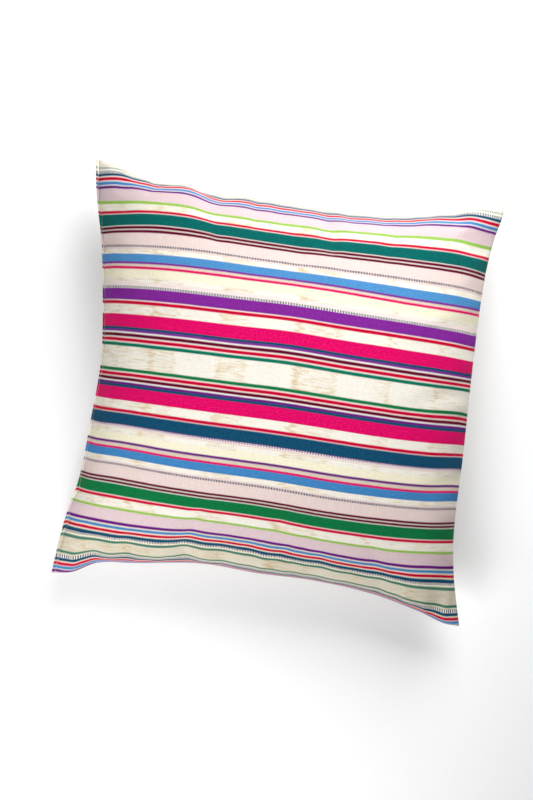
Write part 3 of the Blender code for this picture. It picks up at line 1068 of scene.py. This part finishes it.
def stitches_on(surface, path, probe):
    """Stitches along a path near a surface, which is looked for along the probe direction."""
    lengths = path_lengths(path)
    probe = Vector(probe).normalized()
    for start in np.arange(STITCH_PITCH / 2, lengths[-1] - STITCH_LENGTH, STITCH_PITCH):
        centres, normals = [], []
        for share in np.linspace(0, 1, STITCH_RINGS):
            reached = start + share * STITCH_LENGTH
            place = [np.interp(reached, lengths, path[:, axis]) for axis in range(3)]
            hit, normal, _, _ = surface.ray_cast(Vector(place) - probe * PROBE_START, probe)
            if hit is None:
                break
            lift = THREAD_RADIUS * STITCH_LIFT - STITCH_SINK * (2 * share - 1) ** 4
            centres.append(hit + normal * lift)
            normals.append(normal)
        if len(centres) == STITCH_RINGS:
            yield np.array(centres), np.array(normals)


def make_stitches(name, surface, path, probe, material):
    """One piece that holds a whole row of stitches, each a short tube of thread."""
    points, faces = [], []
    for centres, normals in stitches_on(surface, path, probe):
        faces += tube_faces(sum(map(len, points)))
        points.append(tube_rings(centres, normals).reshape(-1, 3))
    mesh = new_mesh(name, np.concatenate(points).tolist(), faces)
    mesh.shade_smooth()
    mesh.materials.append(material)
    return placed(name, mesh)


def thread_material(name, first, second):
    """Twisted cotton thread: two plies in slanting bands, the thread's colour on their crowns and painted
    shade, the first and darker colour, in the grooves between them.
    """
    material, tree, shader = new_material(name)
    place = tree.nodes.new("ShaderNodeTexCoord").outputs["Object"]
    parts = tree.nodes.new("ShaderNodeSeparateXYZ")
    tree.links.new(place, parts.inputs[0])
    slant = calc(tree, "ADD", parts.outputs["Y"], calc(tree, "MULTIPLY", parts.outputs["X"], TWIST_SLANT))
    twist = spread(tree, calc(tree, "SINE", calc(tree, "MULTIPLY", slant, TWIST)), *TWIST_SHADE)
    # Painted shade: the first colour fills the twist's grooves, where the bump is lowest.
    feed(tree, shader.inputs["Base Color"], mix_colours(tree, "MIX", twist, first, second))
    feed(tree, shader.inputs["Roughness"], spread(tree, twist, *THREAD_ROUGHNESS))
    add_bump(tree, shader, twist, THREAD_RELIEF)
    return material


pale_thread = thread_material("pale_thread", *PALE_THREAD_SHADED_AND_LIT)
front_tree = surface_tree(striped_front)
groove_column = int(np.argmin(np.abs(column_shares - LIP_SHARE)))
topstitching = make_stitches(
    "edge_topstitching", front_tree, front_points[groove_column], TOP_PROBE, pale_thread)
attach(topstitching, "root")


# The closing seam by the bottom left corner, sewn by hand after filling: a short row of tan cotton
# stitches that run along the seam through the back.
CLOSING_START = 0.035
CLOSING_END = 0.090
CLOSING_DEPTH = 0.0075
CLOSING_PLACES = 24
CLOSING_PROBE = (0, 0.8, 0.6)
# The tan thread's colour on the plies' crowns, after a darker copy of it that is painted shade in the
# grooves of the twist.
TAN_THREAD_SHADED_AND_LIT = (colour("A98F6E"), colour("D9C3A0"))

tan_thread = thread_material("tan_thread", *TAN_THREAD_SHADED_AND_LIT)
back_tree = surface_tree(filled_cover)
closing_across, closing_up = np.meshgrid(
    np.linspace(CLOSING_START, CLOSING_END, CLOSING_PLACES), (CLOSING_DEPTH / CUT_SIZE,) * 2,
    indexing="ij")
closing_path = (back_base(closing_across, closing_up) + back_swell(closing_across, closing_up))[:, 0]
closing_stitches = make_stitches(
    "closing_stitches", back_tree, closing_path, CLOSING_PROBE, tan_thread)
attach(closing_stitches, "root")


# The studio: a broad pale table top in a pale room, under a low soft light from beyond the cushion's
# top edge and a weaker one from its lower left. The camera is straight above it, turned a little.
SEAM_HEIGHT = 0.076
CAMERA_HEIGHT = 1.453
CAMERA_PLACE = (-0.0143, -0.0147, SEAM_HEIGHT + CAMERA_HEIGHT)
CAMERA_TURN = math.radians(6.6)
TABLE_HALF = 1.25
TABLE_TOOTH = 160.0
TABLE_TONES = (colour("F5F6F9"), colour("F8F9FB"))
TABLE_ROUGHNESS = (0.75, 0.85)
TABLE_RELIEF = 0.00005
ROOM_TINT = (0.95, 0.97, 1.0, 1.0)
ROOM_FILL = 0.04
ROOM_SEEN = 0.80

Light = namedtuple("Light", "name place size power tint")
LIGHTS = (
    Light("window", (0.30, 0.98, 0.82), 1.0, 24.0, (1.0, 0.99, 0.97)),
    Light("second_window", (-0.46, -0.91, 0.82), 0.7, 14.0, (1.0, 0.99, 0.98)),
)

floor_material, tree, shader = new_material("table_top")
place = tree.nodes.new("ShaderNodeTexCoord").outputs["Object"]
scaled = tree.nodes.new("ShaderNodeVectorMath")
scaled.operation = "SCALE"
scaled.inputs["Scale"].default_value = TABLE_TOOTH
tree.links.new(place, scaled.inputs[0])
tooth = noise_value(tree, scaled.outputs[0], detail=3.0)
feed(tree, shader.inputs["Base Color"], mix_colours(tree, "MIX", tooth, *TABLE_TONES))
feed(tree, shader.inputs["Roughness"], spread(tree, tooth, *TABLE_ROUGHNESS))
add_bump(tree, shader, tooth, TABLE_RELIEF)
table_corners = [(x * TABLE_HALF, y * TABLE_HALF, 0) for x, y in ((-1, -1), (1, -1), (1, 1), (-1, 1))]
table_top = placed("table_top", new_mesh("table_top", table_corners, [(0, 1, 2, 3)]))
table_top.data.materials.append(floor_material)

for light in LIGHTS:
    lamp = bpy.data.lights.new(light.name, "AREA")
    lamp.size = light.size
    lamp.energy = light.power
    lamp.color = light.tint
    holder = placed(light.name, lamp)
    holder.location = light.place
    holder.rotation_euler = (-Vector(light.place)).to_track_quat("-Z", "Y").to_euler()

world = bpy.data.worlds.new("room")
world.use_nodes = True
tree = world.node_tree
glow = tree.nodes["Background"]
glow.inputs["Color"].default_value = ROOM_TINT
seen = tree.nodes.new("ShaderNodeLightPath").outputs["Is Camera Ray"]
feed(tree, glow.inputs["Strength"], spread(tree, seen, ROOM_FILL, ROOM_SEEN))
bpy.context.scene.world = world
bpy.context.scene.view_settings.view_transform = "Standard"

camera = placed("camera", bpy.data.cameras.new("camera"))
camera.data.lens = 50
camera.data.sensor_width = 36
camera.location = CAMERA_PLACE
camera.rotation_euler = (0, 0, CAMERA_TURN)
bpy.context.scene.camera = camera
